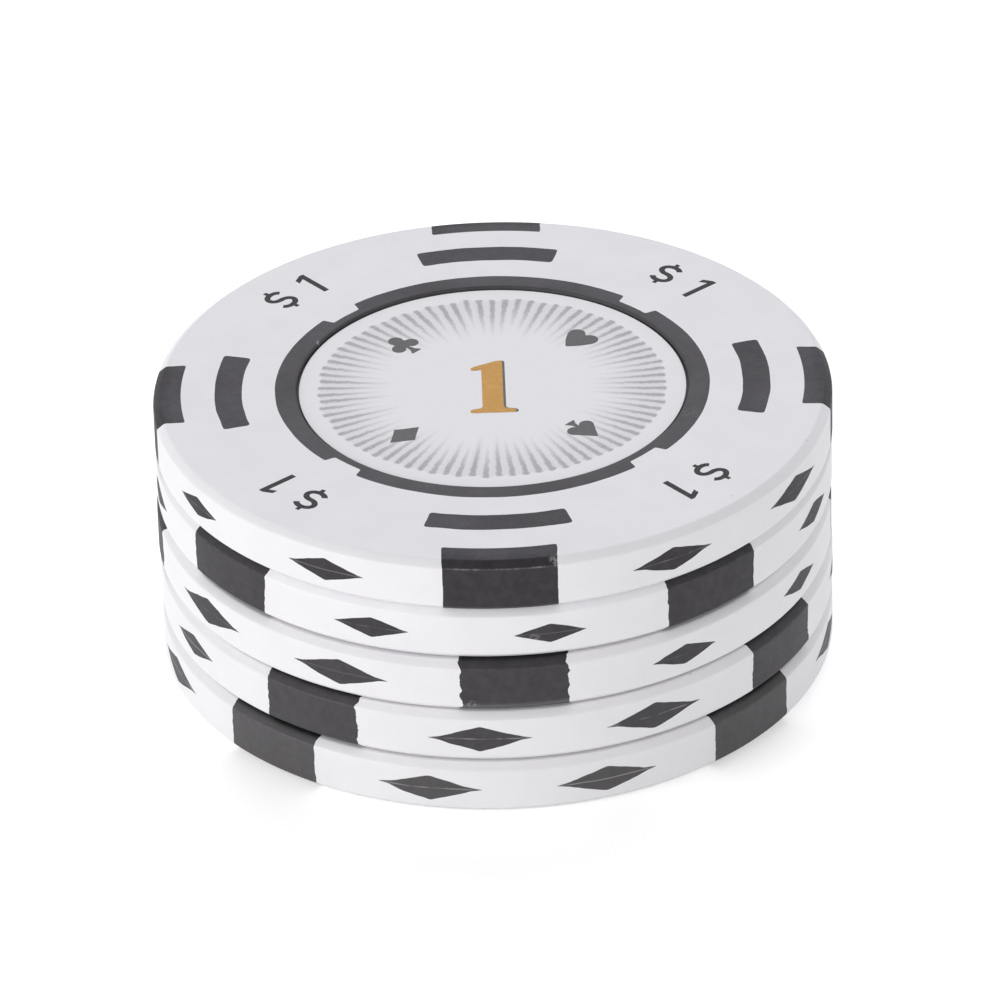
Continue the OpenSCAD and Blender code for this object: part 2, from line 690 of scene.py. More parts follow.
@dataclass(frozen=True)
class ChipSizes:
    """Sizes that all five chips share."""

    thickness: float
    radius: float
    sides: int = 288
    bevel: float = 0.45
    edge_round: float = 0.09
    edge_steps: int = 3
    relief: float = 0.06
    relief_radius: float = 18.0
    slug_radius: float = 13.0
    slug_thickness: float = 1.7
    slug_bevel: float = 0.15
    hub_radius: float = 13.8
    hub_thickness: float = 2.3
    web_radius: float = 19.2
    web_thickness: float = 1.0
    rim_skin: float = 0.8
    lock_radius: float = 1.0
    pin_radius: float = 0.75
    pin_circle: float = 6.93
    pin_bite: float = 0.2
    pins: int = 3
    small_sides: int = 32
    spots: int = 4
    spot_width: float = 6.6
    spot_inner: float = 18.35
    spot_form: Form = Form(0.12, 2, 44)
    spot_waves: tuple[Waves, ...] = (Waves(1.0, 1.3, 0.17), Waves(0.7, 0.4, 0.05), Waves(0.28, 0.18))
    bar_inner: float = 14.75
    bar_outer: float = 16.35
    bar_angle: float = 30.4
    bar_form: Form = Form(0.11, 3, 3, 0.12, 1.1)
    diamonds: int = 2
    diamond_width: float = 5.6
    diamond_height: float = 1.7
    diamond_side_shares: tuple[Point, ...] = ((0.87, 0.13), (0.5, 0.52))
    diamond_form: Form = Form(0.1, 1, 2, 0.14, 0.9)
    tailless_share: float = 0.7
    recess_radius: float = 11.55
    recess_depth: float = 0.3
    recess_round: float = 0.14
    recess_steps: int = 3
    label_radius: float = 11.41
    label_thickness: float = 0.13
    label_bevel: float = 0.03
    ring_radius: float = 12.8
    notch_radius: float = 12.12
    ring_arc: float = 79.2
    ring_draft: float = 0.8
    ring_form: Form = Form(0.09, 1, 3, 0.1, 1.6)
    stamp_circle: float = 16.42
    stamp_spread: float = 4.75
    stamp_lag: float = -0.5
    stamp_depth: float = 0.03
    stamp_sink: float = 0.008
    suit_circle: float = 7.4
    shadow_shift: float = 0.14
    print_thickness: float = 0.006
    drift_step: float = 0.11

    @property
    def middle(self) -> float:
        """Height of the chip's middle."""
        return self.thickness / 2

    @property
    def pitch(self) -> float:
        """Angle from one spot to the next."""
        return 360 / self.spots


@dataclass(frozen=True)
class Scuff:
    """A rubbed place on a chip: where it is, how far it reaches and how pale it is."""

    place: Place
    reach: float
    strength: float


@dataclass(frozen=True)
class Seat:
    """A chip's place in the stack and what differs from chip to chip."""

    number: int
    turn: float
    spot_share: float
    diamond_shares: tuple[float, ...]
    ragged: float
    # Strength of the pale upper-edge line: wear and a painted highlight
    rubbed_and_lit: float
    # Strength of the pale parting line: wear and the painted highlight on its ridge
    lit_parting: float
    # How much paler the dark walls are near the rim
    wall_paling: float = 0.0
    hem: float = 0.0
    scuffs: tuple[Scuff, ...] = ()
    x: float = 0.0
    y: float = 0.0
    z: float = 0.0

    @property
    def body(self) -> str:
        """Name of the body that the chip's pieces ride on."""
        return f"chip_{self.number}"


class Site:
    """The place on a chip that a finish is worked out for, in the chip's own frame."""

    def __init__(self, graph: Graph, seat: Seat) -> None:
        """Reads the place and its distance from the chip's axis.

        Args:
            graph: The material's nodes.
            seat: The chip.
        """
        self.place = graph.local(seat)
        self.x, self.y, self.z = graph.parts(self.place)
        self.radius = (self.x * self.x + self.y * self.y) ** 0.5


@dataclass(frozen=True)
class WhitePlastic:
    """The white shot: a dense satin plastic, faintly mottled, with a few specks of dust."""

    pale: Colour = grey(0.795, 1.0, 0.99, 1.012)
    dull: Colour = grey(0.775, 1.0, 0.985, 1.01)
    dust: Colour = grey(0.42, 1.0, 0.97, 0.94)
    cloud: Grain = Grain(0.3, 4.0, 0.6)
    cloud_span: Span = (0.3, 0.7)
    specks: Dots = Dots(0.45, 0.035, 0.3)
    speck_cover: float = 0.6
    gloss: Grain = Grain(0.8, 3.0)
    rough: float = 0.4
    gloss_rough: float = 0.16
    skin: Grain = Grain(7.0, 3.0)
    skin_depth: float = 0.003

    def material(self, seat: Seat) -> bpy.types.Material:
        """Makes the finish.

        Args:
            seat: The chip that it is for.

        Returns:
            The material.
        """
        graph = Graph.named(f"white_plastic_{seat.number}")
        place = graph.local(seat)
        ground = graph.mix(graph.noise(place, self.cloud).over(*self.cloud_span), self.pale, self.dull)
        return graph.done(
            Base_Color=graph.mix(graph.dots(place, self.specks) * self.speck_cover, ground, self.dust),
            Roughness=self.rough + self.gloss_rough * graph.noise(place, self.gloss),
            Normal=graph.bump(graph.noise(place, self.skin), self.skin_depth),
        )


@dataclass(frozen=True)
class DarkPlastic:
    """The dark shot: near-black plastic with a soft sheen, rubbed pale along its edges, with painted
    highlights on its upper edge and its parting line.

    Depths are measured inwards from the rim. A span runs from where a mark starts to change to where it has
    changed.
    """

    deep: Colour = grey(0.011, 1.0, 0.94, 1.02)
    faded: Colour = grey(0.0225, 1.0, 0.94, 1.0)
    # Pale colour of wear, scuffs and specks, also used for the painted highlights
    rubbed_and_lit: Colour = grey(0.32, 1.0, 0.98, 0.97)
    sheen: Colour = grey(1.0, 1.0, 0.94, 1.03)
    shine: float = 0.45
    cloud: Grain = Grain(1.4, 5.0, 0.7)
    cloud_span: Span = (0.34, 0.68)
    skin: Grain = Grain(5.0, 3.0, 0.6)
    skin_depth: float = 0.004
    skin_rough: float = 0.2
    gloss: Grain = Grain(0.22, 3.0)
    gloss_rough: float = 0.26
    rough: float = 0.38
    edge_depths: Span = (0.1, 0.3)
    edge_span: Span = (0.015, 0.06)
    edge_patches: Grain = Grain(1.6, 4.0, 0.7)
    edge_patch_span: Span = (0.42, 0.66)
    least_edge_patch: float = 0.25
    hem_height: float = 0.3
    least_hem: float = 0.4
    line_depths: Span = (0.4, 0.6)
    line_span: Span = (0.012, 0.055)
    line_sway: float = 0.16
    line_waves: Grain = Grain(0.5)
    line_breaks: Grain = Grain(0.7)
    break_span: Span = (0.36, 0.56)
    off_spot_span: Span = (0.2, 0.3)
    specks: Dots = Dots(1.1, 0.05, 0.25)
    speck_cover: float = 0.25
    scuff_span: Span = (0.4, 0.6)
    scuff_core_share: float = 0.3
    ring_cover: float = 0.09
    ring_margins: Span = (0.2, 0.6)
    face_cover: float = 0.05
    face_depths: Span = (0.6, 1.2)
    wall_paling_depths: Span = (0.2, 0.5)

    def material(self, seat: Seat, sizes: ChipSizes) -> bpy.types.Material:
        """Makes the finish.

        Args:
            seat: The chip that it is for.
            sizes: The chip's sizes.

        Returns:
            The material.
        """
        graph = Graph.named(f"dark_plastic_{seat.number}")
        site = Site(graph, seat)
        skin = graph.noise(site.place, self.skin)
        depth = sizes.radius - site.radius
        ground = graph.mix(graph.noise(site.place, self.cloud).over(*self.cloud_span), self.deep, self.faded)
        # A pale line along the upper edge: wear and a painted highlight of the edge
        marks = self.worn_and_highlit_edges(graph, site, seat, sizes, skin) * depth.under(*self.edge_depths)
        # The parting line, painted pale as wear and as the highlight on its ridge
        marks = marks + self.lit_parting_line(graph, site, sizes) * depth.under(*self.line_depths) * seat.lit_parting
        marks = marks + self.scuffed(graph, site, seat, skin)
        ring = site.radius.under(*(sizes.ring_radius + margin for margin in self.ring_margins))
        handled = self.ring_cover * skin * ring + self.face_cover * depth.over(*self.face_depths)
        # Near the rim the dark walls are made paler, by a share that grows the lower the chip sits
        pale = marks + handled + seat.wall_paling * depth.under(*self.wall_paling_depths)
        gloss = graph.noise(site.place, self.gloss)
        return graph.done(
            Base_Color=graph.mix(pale.math("MINIMUM", 1.0), ground, self.rubbed_and_lit),
            Roughness=self.rough + self.skin_rough * skin + self.gloss_rough * gloss,
            Specular_IOR_Level=self.shine,
            Specular_Tint=self.sheen,
            Normal=graph.bump(skin, self.skin_depth),
        )

    def worn_and_highlit_edges(self, graph: Graph, site: Site, seat: Seat, sizes: ChipSizes, skin: Value) -> Value:
        """Gives the wear of the rim, with a painted highlight along its upper edge.

        Args:
            graph: The material's nodes.
            site: Where it is worked out.
            seat: The chip.
            sizes: The chip's sizes.
            skin: The plastic's fine unevenness.

        Returns:
            A pale line along the upper edge, partly wear and partly painted highlight, and a hem above the
            lower one.
        """
        edge = abs(site.z - (sizes.thickness - sizes.bevel)).under(*self.edge_span)
        patchy = self.least_edge_patch + graph.noise(site.place, self.edge_patches).over(*self.edge_patch_span)
        hem = (site.z - sizes.bevel).under(0.0, self.hem_height)
        return edge * patchy * seat.rubbed_and_lit + hem * (self.least_hem + skin) * seat.hem

    def lit_parting_line(self, graph: Graph, site: Site, sizes: ChipSizes) -> Value:
        """Gives the broken line that the halves of the mould leave, painted pale as wear and as the highlight
        on its ridge.

        Args:
            graph: The material's nodes.
            site: Where it is worked out.
            sizes: The chip's sizes.

        Returns:
            A thin line at half the chip's height, between the spots.
        """
        off_spot = abs(site.x * site.y / (site.radius * site.radius)).over(*self.off_spot_span)
        sway = self.line_sway * (graph.noise(site.place, self.line_waves) - 0.5)
        line = abs(site.z - sizes.middle - sway).under(*self.line_span)
        return line * off_spot * graph.noise(site.place, self.line_breaks).over(*self.break_span)

    def scuffed(self, graph: Graph, site: Site, seat: Seat, skin: Value) -> Value:
        """Gives scattered specks and the chip's own scuffs.

        Args:
            graph: The material's nodes.
            site: Where they are worked out.
            seat: The chip.
            skin: The plastic's fine unevenness.

        Returns:
            How pale they are.
        """
        pale = graph.dots(site.place, self.specks) * self.speck_cover
        for scuff in seat.scuffs:
            ends = {0: site.place, 1: scuff.place}
            away = graph.add("ShaderNodeVectorMath", {"operation": "DISTANCE"}, ends, "Value")
            near = away.under(scuff.reach * self.scuff_core_share, scuff.reach)
            pale = pale + near * skin.over(*self.scuff_span) * scuff.strength
        return pale


@dataclass(frozen=True)
class LabelFilm:
    """A label's printed film: a pale ground with a burst of fine grey rays under a satin coat."""

    ground: Colour = grey(0.77, 1.0, 0.99, 1.0)
    ray: Colour = grey(0.33, 1.0, 0.975, 1.02)
    rays: int = 81
    outer: float = 10.2
    inner: float = 5.2
    wash: float = 0.2
    fibre: Grain = Grain(5.0, 4.0, 0.7)
    fibre_depth: float = 0.002
    shake: Grain = Grain(2.0, 4.0, 0.7)
    shake_share: float = 0.5
    slim_share: float = 0.15
    flare_share: float = 0.08
    blur_share: float = 0.1
    root_stagger: float = 1.2
    root_fade: float = 0.8
    tip_stagger: float = 0.2
    tip_round: float = 0.7
    tip_blur: float = 0.08
    least_ink: float = 0.5
    fibre_ink: float = 0.8
    rough: float = 0.34
    fibre_rough: float = 0.12

    def material(self, seat: Seat) -> bpy.types.Material:
        """Makes the finish.

        Args:
            seat: The chip whose labels it is for.

        Returns:
            The material.
        """
        graph = Graph.named(f"label_film_{seat.number}")
        site = Site(graph, seat)
        fibre = graph.noise(site.place, self.fibre)
        shake = self.shake_share * (graph.noise(site.place, self.shake) - 0.5)
        turn = site.y.math("ARCTAN2", site.x) * (self.rays / math.tau) + self.rays / 2 + shake
        lottery = graph.add("ShaderNodeTexWhiteNoise", {"noise_dimensions": "1D"}, {"W": turn.math("FLOOR")})
        off = abs(turn.math("FRACT") - 0.5)
        reach = (site.radius - self.inner - self.root_stagger * lottery) / (self.outer - self.inner)
        width = self.slim_share + self.flare_share * reach
        tip = self.outer + self.tip_stagger * lottery - self.tip_round * off * off
        ink = self.least_ink + self.fibre_ink * fibre
        ray = off.under(width - self.blur_share, width + self.blur_share) * ink
        inside = site.radius.under(tip - self.tip_blur, tip + self.tip_blur)
        printed = inside * reach.over(0.0, self.root_fade)
        return graph.done(
            Base_Color=graph.mix(printed * (self.wash + (1 - self.wash) * ray), self.ground, self.ray),
            Roughness=self.rough + self.fibre_rough * fibre,
            Normal=graph.bump(fibre, self.fibre_depth),
        )


@dataclass(frozen=True)
class Print:
    """A printed or stamped colour with a slightly uneven cover."""

    name: str
    full: Colour
    thin: Colour
    rough: float
    metal: float = 0.0
    shine: float = 0.5
    cover: Grain = Grain(3.0, 4.0, 0.7)
    cover_span: Span = (0.45, 0.8)
    cover_depth: float = 0.003
    gloss: Grain = Grain(6.0)
    gloss_rough: float = 0.15

    def material(self) -> bpy.types.Material:
        """Makes the finish.

        Returns:
            The material.
        """
        graph = Graph.named(self.name)
        place = graph.local()
        cover = graph.noise(place, self.cover)
        return graph.done(
            Base_Color=graph.mix(cover.over(*self.cover_span), self.full, self.thin),
            Roughness=self.rough + self.gloss_rough * graph.noise(place, self.gloss),
            Metallic=self.metal,
            Specular_IOR_Level=self.shine,
            Normal=graph.bump(cover, self.cover_depth),
        )


@dataclass(frozen=True)
class SlugSteel:
    """Blanked sheet steel with fine rolling lines and a dull skin."""

    bright: Colour = grey(0.56, 1.0, 0.99, 0.97)
    dull: Colour = grey(0.38, 1.0, 0.97, 0.93)
    blotch: Grain = Grain(0.25, 4.0)
    blotch_span: Span = (0.35, 0.7)
    lines: Grain = Grain(1.0, 4.0, 0.7)
    line_stretch: Place = (0.08, 6.0, 1.0)
    line_depth: float = 0.004
    rough: float = 0.32
    line_rough: float = 0.25

    def material(self) -> bpy.types.Material:
        """Makes the finish.

        Returns:
            The material.
        """
        graph = Graph.named("slug_steel")
        place = graph.local()
        along = graph.add("ShaderNodeMapping", sockets={"Vector": place, "Scale": self.line_stretch})
        lines = graph.noise(along, self.lines)
        blotched = graph.noise(place, self.blotch).over(*self.blotch_span)
        return graph.done(
            Base_Color=graph.mix(blotched, self.bright, self.dull),
            Metallic=1.0,
            Roughness=self.rough + self.line_rough * lines,
            Normal=graph.bump(lines, self.line_depth),
        )


@dataclass
class Finishes:
    """The finishes of all chips."""

    white: WhitePlastic = WhitePlastic()
    dark: DarkPlastic = DarkPlastic()
    film: LabelFilm = LabelFilm()
    steel: SlugSteel = SlugSteel()
    prints: tuple[Print, ...] = (
        Print("stamp_foil", grey(0.012, 1.0, 0.93, 1.03), grey(0.06, 1.0, 0.97, 1.0), 0.5, shine=0.28),
        Print("label_ink", grey(0.045, 1.0, 0.97, 1.02), grey(0.075, 1.0, 0.97, 1.0), 0.4),
        Print("gold_ink", (0.36, 0.185, 0.024, 1.0), (0.43, 0.24, 0.05, 1.0), 0.36, metal=0.55),
    )

    def __post_init__(self) -> None:
        """Makes the materials that don't change from chip to chip."""
        self.shared = {finish.name: finish.material() for finish in self.prints}
        self.slug = self.steel.material()


@dataclass
class Glyphs:
    """The outlines of what is stamped on the chip and printed on its labels, upright about the origin."""

    pen: float = 0.36

    def coin_sign(self) -> list[Outline]:
        """Draws the curved money sign with a short tick above and below it.

        Returns:
            Its strokes, which overlap.
        """
        wide, high = 0.58, 0.44
        bowls = Outline().arc((0, high), (wide, high), 22, 262, 28)
        bowls.arc((0, -high), (wide, high), 82, -158, 28)
        ticks = [
            Outline([(-0.2, 0.95), (0.08, 0.95), (0.08, 1.3), (-0.2, 1.3)]),
            Outline([(-0.08, -1.3), (0.2, -1.3), (0.2, -0.95), (-0.08, -0.95)]),
        ]
        return [stroke(bowls.points, self.pen), *ticks]

    def plain_one(self) -> list[Outline]:
        """Draws a plain figure one with a flag."""
        shape = Outline([(-0.19, -1.25), (0.19, -1.25), (0.19, 1.25), (-0.1, 1.25)])
        return [shape.to((-0.66, 0.92), (-0.66, 0.52), (-0.19, 0.8))]

    def serif_one(self) -> list[Outline]:
        """Draws a figure one with a foot and a flag, for the middle of a label.

        Returns:
            Its outline.
        """
        shape = Outline([(-1.35, -3.0), (1.35, -3.0), (1.35, -2.62), (0.62, -2.45), (0.62, 3.0), (0.3, 3.0)])
        shape.to((-1.25, 2.25), (-1.25, 1.85), (-0.62, 2.05), (-0.62, -2.45), (-1.35, -2.62))
        return [shape.eased(0.12, 2)]

    def suits(self) -> list[list[Outline]]:
        """Draws the four playing-card suits."""
        return [self.spade(), self.heart(), self.club(), self.diamond()]

    def heart(self) -> list[Outline]:
        """Draws a heart.

        Returns:
            Its outline.
        """
        shape = Outline([(0, -1.15), (0.55, -0.55), (0.98, 0.1)]).arc((0.52, 0.42), (0.52, 0.5), -20, 165, 20)
        shape.arc((-0.52, 0.42), (0.52, 0.5), 15, 200, 20).to((-0.98, 0.1), (-0.55, -0.55))
        return [shape.eased(0.08, 3)]

    def spade(self) -> list[Outline]:
        """Draws a spade.

        Returns:
            Its outline.
        """
        shape = Outline([(-0.42, -1.2), (0.42, -1.2), (0.16, -0.85), (0.1, -0.4)])
        shape.arc((0.5, -0.3), (0.46, 0.42), -150, 40, 18).to((0.5, 0.45), (0, 1.15), (-0.5, 0.45))
        shape.arc((-0.5, -0.3), (0.46, 0.42), 140, 330, 18).to((-0.1, -0.4), (-0.16, -0.85))
        return [shape.eased(0.08, 2)]

    def club(self) -> list[Outline]:
        """Draws a club.

        Returns:
            Its outline.
        """
        shape = Outline([(-0.42, -1.2), (0.42, -1.2), (0.16, -0.85), (0.1, -0.35)])
        shape.arc((0.52, -0.22), (0.44, 0.44), -160, 100, 20).arc((0, 0.58), (0.46, 0.46), -40, 220, 20)
        shape.arc((-0.52, -0.22), (0.44, 0.44), 80, 340, 20).to((-0.1, -0.35), (-0.16, -0.85))
        return [shape.eased(0.08, 2)]

    def diamond(self) -> list[Outline]:
        """Draws a diamond with slightly hollow sides."""
        shape = Outline([(0, -1.2), (0.46, -0.52), (0.85, 0), (0.46, 0.52)])
        return [shape.to((0, 1.2), (-0.46, 0.52), (-0.85, 0), (-0.46, -0.52))]


@dataclass
class Chip:
    """One chip: its two shots of plastic, its two labels and what is printed on them.

    Forms that are trimmed run past the chip's faces by the overrun, and past its rim by the reach.
    """

    sizes: ChipSizes
    seat: Seat
    finishes: Finishes
    bench: Bench = field(default_factory=Bench)
    glyphs: Glyphs = field(default_factory=Glyphs)
    overrun: float = 0.3
    reach: float = 1.0

    @property
    def drift(self) -> float:
        """Scale of the chip's unevenness, which differs so that no two chips are alike."""
        return 1 + self.sizes.drift_step * self.seat.number

    def build(self) -> None:
        """Models, dresses and seats all pieces of the chip."""
        seat = self.seat
        stamps = self.stamps()
        core, body = self.shots(stamps)
        film = self.finishes.film.material(seat)
        top, bottom = [self.label(side) for side in Side]
        inked, gilt = self.prints()
        shared = self.finishes.shared
        rows = [
            (body, self.finishes.white.material(seat), "white_plastic", "white_body"),
            (core, self.finishes.dark.material(seat, self.sizes), "dark_plastic", "accent_core"),
            (top, film, "label_film", "top_label"),
            (bottom, film, "label_film", "bottom_label"),
            (stamps, shared["stamp_foil"], "dark_plastic", None),
            (inked, shared["label_ink"], "label_film", None),
            (gilt, shared["gold_ink"], "label_film", None),
        ]
        for piece, material, slot, node in rows:
            self.bench.place(piece, (0, 0, seat.turn), (seat.x, seat.y, seat.z))
            self.dress(piece, material)
            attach(piece, seat.body)
            if node:
                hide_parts(self.name(node))
            LOG.info("%s: %d faces", piece.name, len(piece.data.polygons))
        self.dress(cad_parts[self.name("steel_slug")], self.finishes.slug)

    def dress(self, piece: Piece, material: bpy.types.Material) -> None:
        """Gives a piece one material."""
        piece.data.materials.clear()
        piece.data.materials.append(material)

    def name(self, piece: str) -> str:
        """Gives a piece its name in the stack."""
        return f"{self.seat.body}_{piece}"

    def blank(self) -> Piece:
        """Models the disc that both shots fill: its faces fall away a little to bevelled, rounded rims.

        Returns:
            The disc.
        """
        sizes = self.sizes
        rim = sizes.radius - sizes.bevel
        lower = [(sizes.relief_radius, 0.0), (rim, sizes.relief), (sizes.radius, sizes.bevel)]
        upper = [(radius, sizes.thickness - height) for radius, height in reversed(lower)]
        blank = self.bench.turned("blank", lower + upper, sizes.sides)
        with self.bench.editing(blank):
            self.bench.bevel_rims(blank, sizes.edge_round, sizes.edge_steps, (sizes.relief_radius + rim) / 2)
            self.bench.poke_ends(blank)
        return blank

    def layer(self, name: str, radius: float, thickness: float) -> Piece:
        """Models a drum at half the chip's height and returns it."""
        middle = self.sizes.middle
        return self.bench.drum(name, radius, middle - thickness / 2, middle + thickness / 2)

    def upright(self, name: str, plan: Outline, form: Form) -> Piece:
        """Models a form that runs past both faces of the chip and returns it."""
        plan = plan.eased(form.step, form.softening)
        return self.bench.prism(name, plan, -self.overrun, self.sizes.thickness + self.overrun, form.loops)

    def flipped(self, piece: Piece, name: str, turn: float = 0.0) -> Piece:
        """Copies a piece to the other face of the chip and returns the copy."""
        return self.bench.place(self.bench.copy(piece, name), (180, 0, turn), (0, 0, self.sizes.thickness))

    def around(self, piece: Piece, count: int, first: float = 0.0) -> list[Piece]:
        """Repeats a piece at equal turns about the chip's axis.

        Args:
            piece: The piece, which is used up.
            count: How many there will be.
            first: Turn of the first one.

        Returns:
            The turned copies.
        """
        copies = [self.bench.copy(piece, f"{piece.name}_{i}") for i in range(count)]
        self.bench.drop(piece)
        return [self.bench.place(copy, (0, 0, first + i * 360 / count)) for i, copy in enumerate(copies)]

    def spot(self) -> Piece:
        """Models the form of one rim spot, with parallel sides and a curved inner end.

        Returns:
            The form.
        """
        sizes = self.sizes
        half = sizes.spot_width * self.seat.spot_share / 2
        out = sizes.radius + self.reach
        swing = math.degrees(math.asin(half / sizes.spot_inner))
        plan = Outline().circle(sizes.spot_inner, -90 + swing, -90 - swing).to((-half, -out), (half, -out))
        return self.upright("spot", plan, sizes.spot_form)

    def uneven_spots(self) -> list[Piece]:
        """Models all rim spots, whose sides are ragged where the white shot crept past them.

        Returns:
            The spots' forms, in their places.
        """
        first = self.spot()
        spots = [self.bench.copy(first, f"spot_{i}") for i in range(self.sizes.spots)]
        self.bench.drop(first)
        for i, spot in enumerate(spots):
            for waves in self.sizes.spot_waves:
                size = waves.size * self.drift + waves.change * i
                self.bench.ragged(spot, self.seat.ragged * waves.share, size, Sway.SIDEWAYS)
            self.bench.place(spot, (0, 0, i * self.sizes.pitch))
        return spots

    def bar(self) -> Piece:
        """Models the form of one bar, which follows the ring.

        Returns:
            The form.
        """
        sizes = self.sizes
        start, end = -90 - sizes.bar_angle / 2, -90 + sizes.bar_angle / 2
        plan = Outline().circle(sizes.bar_outer, start, end).circle(sizes.bar_inner, end, start)
        return self.upright("bar", plan, sizes.bar_form)

    def ring(self) -> Piece:
        """Models the form of the ring round the label: a narrow ring with wide arcs at the spots.

        Returns:
            The form.
        """
        sizes = self.sizes
        wide = (sizes.ring_arc - sizes.ring_draft) / 2
        narrow = (sizes.ring_arc + sizes.ring_draft) / 2
        plan = Outline()
        for i in range(sizes.spots):
            spot = -90 + i * sizes.pitch
            plan.circle(sizes.ring_radius, spot - wide, spot + wide, count=60)
            plan.circle(sizes.notch_radius, spot + narrow, spot + sizes.pitch - narrow, count=12)
        return self.upright("ring", plan, sizes.ring_form)

    def diamond(self, share: float, turn: float) -> Piece:
        """Models the form of one rim diamond, whose tips are drawn out where it is large.

        Args:
            share: Its size, as a share of a full diamond.
            turn: Its angle from the first spot.

        Returns:
            The form, in its place.
        """
        sizes, form = self.sizes, self.sizes.diamond_form
        half_w = sizes.diamond_width * share / 2
        half_h = sizes.diamond_height * share / 2
        side = [(half_w * x, half_h * y) for x, y in sizes.diamond_side_shares]
        tail = max(0.0, share - sizes.tailless_share)
        corners = [(half_w + tail, 0), *side, (0, half_h), *((-x, y) for x, y in reversed(side))]
        plan = Outline(corners + [(-x, -y) for x, y in corners]).eased(form.step, form.softening)
        root = sizes.web_radius - sizes.rim_skin
        lug = self.bench.prism("diamond", plan, root, sizes.radius + self.reach, form.loops)
        self.bench.place(lug, (90, 0, 0), (0, 0, sizes.middle))
        return self.bench.place(lug, (0, 0, turn))

    def core_form(self) -> Piece:
        """Models all that is dark in the chip, before it is trimmed to the blank.

        Returns:
            One closed form.
        """
        sizes, bench = self.sizes, self.bench
        core = self.layer("core_form", sizes.hub_radius, sizes.hub_thickness)
        web = self.layer("web", sizes.web_radius, sizes.web_thickness)
        lock_place = (0, -(sizes.bar_inner + sizes.bar_outer) / 2)
        lock = bench.drum("lock", sizes.lock_radius, 0, sizes.thickness, lock_place, sizes.small_sides)
        bench.cut(web, bench.merge("locks", self.around(lock, sizes.spots, sizes.pitch / 2)), Cut.TAKE)
        ring = self.ring()
        bars = bench.merge("bars", self.around(self.bar(), sizes.spots))
        spots = bench.merge("spots", self.uneven_spots())
        step = sizes.pitch / (sizes.diamonds + 1)
        turns = [i * sizes.pitch + j * step for i in range(sizes.spots) for j in range(1, sizes.diamonds + 1)]
        sized = zip(self.seat.diamond_shares, turns)
        diamonds = bench.merge("diamonds", [self.diamond(share, turn) for share, turn in sized])
        uneven = ((ring, sizes.ring_form), (bars, sizes.bar_form), (diamonds, sizes.diamond_form))
        for part, form in uneven:
            bench.ragged(part, form.uneven, form.waves * self.drift, Sway.ANY)
        for part in (web, ring, bars, spots, diamonds):
            bench.cut(core, part, Cut.JOIN)
        return core

    def shots(self, stamps: Piece) -> tuple[Piece, Piece]:
        """Models the dark core and the white body that is moulded round it.

        Args:
            stamps: The stamped marks, which press their own beds into the white body.

        Returns:
            The core and the body.
        """
        sizes, bench = self.sizes, self.bench
        form = self.core_form()
        body = self.blank()
        core = bench.copy(body, self.name("core"))
        bench.cut(body, form, Cut.TAKE, keep=True)
        bench.cut(core, form, Cut.TRIM)
        bench.cut(body, self.stamp_beds(stamps), Cut.TAKE)
        body.name = body.data.name = self.name("body")
        cavity = self.layer("cavity", sizes.slug_radius, sizes.slug_thickness)
        with bench.editing(cavity):
            bench.bevel_rims(cavity, sizes.slug_bevel, 1)
        bench.cut(core, cavity, Cut.TAKE)
        pin = self.pin()
        for tool in (pin, self.flipped(pin, "upper_pin", 180)):
            bench.cut(core, bench.merge("pins", self.around(tool, sizes.pins)), Cut.TAKE)
        recess = self.recess()
        for tool in (recess, self.flipped(recess, "lower_recess")):
            bench.cut(core, tool, Cut.TAKE)
        for piece in (core, body):
            bench.smooth(piece)
        return core, body

    def pin(self) -> Piece:
        """Models the form of one hole that a mould pin leaves below the slug.

        Returns:
            The form.
        """
        sizes = self.sizes
        top = sizes.middle - sizes.slug_thickness / 2 + sizes.pin_bite
        return self.bench.drum(
            "pin", sizes.pin_radius, -self.reach, top, (0, sizes.pin_circle), sizes.small_sides
        )

    def recess(self) -> Piece:
        """Models the form of the upper label's recess, with a mouth that opens in a small round.

        Returns:
            The form.
        """
        sizes = self.sizes
        curve = sizes.recess_round
        profile = [(sizes.recess_radius, sizes.thickness - sizes.recess_depth)]
        for i in range(sizes.recess_steps + 1):
            angle = math.radians(90 * i / sizes.recess_steps)
            out = sizes.recess_radius + curve * (1 - math.cos(angle))
            profile.append((out, sizes.thickness - curve * (1 - math.sin(angle))))
        profile.append((sizes.recess_radius + curve, sizes.thickness + self.overrun))
        return self.bench.turned("recess", profile)

    def plate(self, outlines: Sequence[Outline], low: float, high: float, out: float, turn: float) -> Piece:
        """Raises outlines that overlap into one thin plate, with its top away from the chip's axis.

        Args:
            outlines: What is drawn.
            low: Height of the plate's lower side.
            high: Height of its upper side.
            out: Distance of the drawing's middle from the axis.
            turn: Angle of the drawing from the first spot.

        Returns:
            The plate.
        """
        plate, *others = [self.bench.prism("plate", outline, low, high) for outline in outlines]
        for other in others:
            self.bench.cut(plate, other, Cut.JOIN)
        self.bench.place(plate, (0, 0, 180), (0, -out, 0))
        return self.bench.place(plate, (0, 0, turn))

    def both_sides(self, name: str, plates: list[Piece]) -> Piece:
        """Merges plates on the upper face and repeats them on the lower one, and returns the piece."""
        upper = self.bench.merge(name, plates)
        return self.bench.merge(name, [upper, self.flipped(upper, "lower")])

